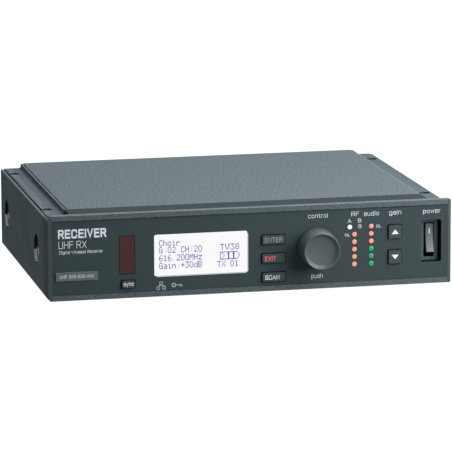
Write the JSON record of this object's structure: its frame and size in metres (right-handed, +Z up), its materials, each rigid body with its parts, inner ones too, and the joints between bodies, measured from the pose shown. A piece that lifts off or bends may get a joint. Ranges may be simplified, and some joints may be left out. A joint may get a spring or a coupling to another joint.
{
  "type": "wireless receiver unit",
  "caption": "Half-rack one-unit wireless microphone receiver with display, menu keys, control dial, level lights, power rocker and rear connectors.",
  "frame": {"origin": "middle of the footprint, at the height the unit stands on", "axes": "+X to the right seen from the front, the front panel faces -Y, +Z up"},
  "size_m": [0.197, 0.171, 0.041],
  "materials": {
    "case_paint": "fine-texture dark grey powder coat",
    "frame_paint": "satin grey paint",
    "panel_plastic": "matte charcoal",
    "ir_red": "smooth dark red filter",
    "display_clear": "clear",
    "label_grey": "printed label plate",
    "lcd": "backlit white",
    "light_pipe": "diffused",
    "key_plastic": "fine matte",
    "black_plastic": "satin black",
    "knob_rubber": "soft-touch",
    "nickel": "nickel plate",
    "white_plastic": "natural",
    "bare_steel": "zinc plated",
    "circuit_board": "solder mask"
  },
  "bodies": {
    "receiver": {"antenna_light_pipe": "light_pipe", "audio_light_pipe": "light_pipe", "bnc_a_body": "nickel", "bnc_a_contact": "white_plastic", "bnc_a_nut": "nickel", "bnc_b_body": "nickel", "bnc_b_contact": "white_plastic", "bnc_b_nut": "nickel", "board_link": "white_plastic", "chassis_tray": "case_paint", "cord_hook": "black_plastic", "dc_inlet": "black_plastic", "dc_inlet_pin": "nickel", "display_window": "display_clear", "encoder_body": "bare_steel", "encoder_nut": "nickel", "enter_switch": "black_plastic", "ethernet_jack": "nickel", "exit_switch": "black_plastic", "frequency_plate": "label_grey", "front_board": "circuit_board", "front_frame": "frame_paint", "gain_down_switch": "black_plastic", "gain_up_switch": "black_plastic", "ir_window": "ir_red", "jack_nut": "nickel", "jack_socket": "black_plastic", "lcd_module": "lcd", "level_switch": "bare_steel", "main_board": "circuit_board", "panel_moulding": "panel_plastic", "power_switch_housing": "black_plastic", "processor_shield": "nickel", "rack_plate_left_front": "bare_steel", "rack_plate_left_rear": "bare_steel", "rack_plate_right_front": "bare_steel", "rack_plate_right_rear": "bare_steel", "rear_panel": "case_paint", "rear_screw_1": "bare_steel", "rear_screw_2": "bare_steel", "rf_light_pipe": "light_pipe", "rf_shield_a": "nickel", "rf_shield_b": "nickel", "scan_switch": "black_plastic", "sync_switch": "black_plastic", "top_cover": "case_paint", "xlr_contacts": "nickel", "xlr_shell": "black_plastic"},
    "sync_key": {"sync_button": "key_plastic"},
    "enter_key": {"enter_button": "key_plastic"},
    "exit_key": {"exit_button": "key_plastic"},
    "scan_key": {"scan_button": "key_plastic"},
    "gain_up_key": {"gain_up_button": "key_plastic"},
    "gain_down_key": {"gain_down_button": "key_plastic"},
    "control_push": {"encoder_plunger": "white_plastic"},
    "control_dial": {"control_knob": "knob_rubber", "encoder_shaft": "nickel"},
    "power_rocker_body": {"power_rocker": "black_plastic"},
    "level_slider_body": {"level_slider": "black_plastic"}
  },
  "joints": [
    {"name": "sync_press", "type": "slide", "parent": "receiver", "child": "sync_key", "axis": [0, 1, 0], "range_m": [0, 0.0006], "stiffness_N_per_m": 1500, "springref_m": -0.0006},
    {"name": "enter_press", "type": "slide", "parent": "receiver", "child": "enter_key", "axis": [0, 1, 0], "range_m": [0, 0.0006], "stiffness_N_per_m": 1500, "springref_m": -0.0006},
    {"name": "exit_press", "type": "slide", "parent": "receiver", "child": "exit_key", "axis": [0, 1, 0], "range_m": [0, 0.0006], "stiffness_N_per_m": 1500, "springref_m": -0.0006},
    {"name": "scan_press", "type": "slide", "parent": "receiver", "child": "scan_key", "axis": [0, 1, 0], "range_m": [0, 0.0006], "stiffness_N_per_m": 1500, "springref_m": -0.0006},
    {"name": "gain_up_press", "type": "slide", "parent": "receiver", "child": "gain_up_key", "axis": [0, 1, 0], "range_m": [0, 0.0006], "stiffness_N_per_m": 1500, "springref_m": -0.0006},
    {"name": "gain_down_press", "type": "slide", "parent": "receiver", "child": "gain_down_key", "axis": [0, 1, 0], "range_m": [0, 0.0006], "stiffness_N_per_m": 1500, "springref_m": -0.0006},
    {"name": "control_press", "type": "slide", "parent": "receiver", "child": "control_push", "axis": [0, 1, 0], "range_m": [0, 0.0005], "stiffness_N_per_m": 3000, "springref_m": -0.0008},
    {"name": "control_turn", "type": "hinge", "parent": "control_push", "child": "control_dial", "pos_m": [0.0318, -0.0745, 0.02025], "axis": [0, -1, 0], "continuous": true},
    {"name": "power_rock", "type": "hinge", "parent": "receiver", "child": "power_rocker_body", "pos_m": [0.0886, -0.0685, 0.0208], "axis": [1, 0, 0], "range_deg": [0, 20]},
    {"name": "level_slide", "type": "slide", "parent": "receiver", "child": "level_slider_body", "axis": [1, 0, 0], "range_m": [0, 0.003]}
  ]
}
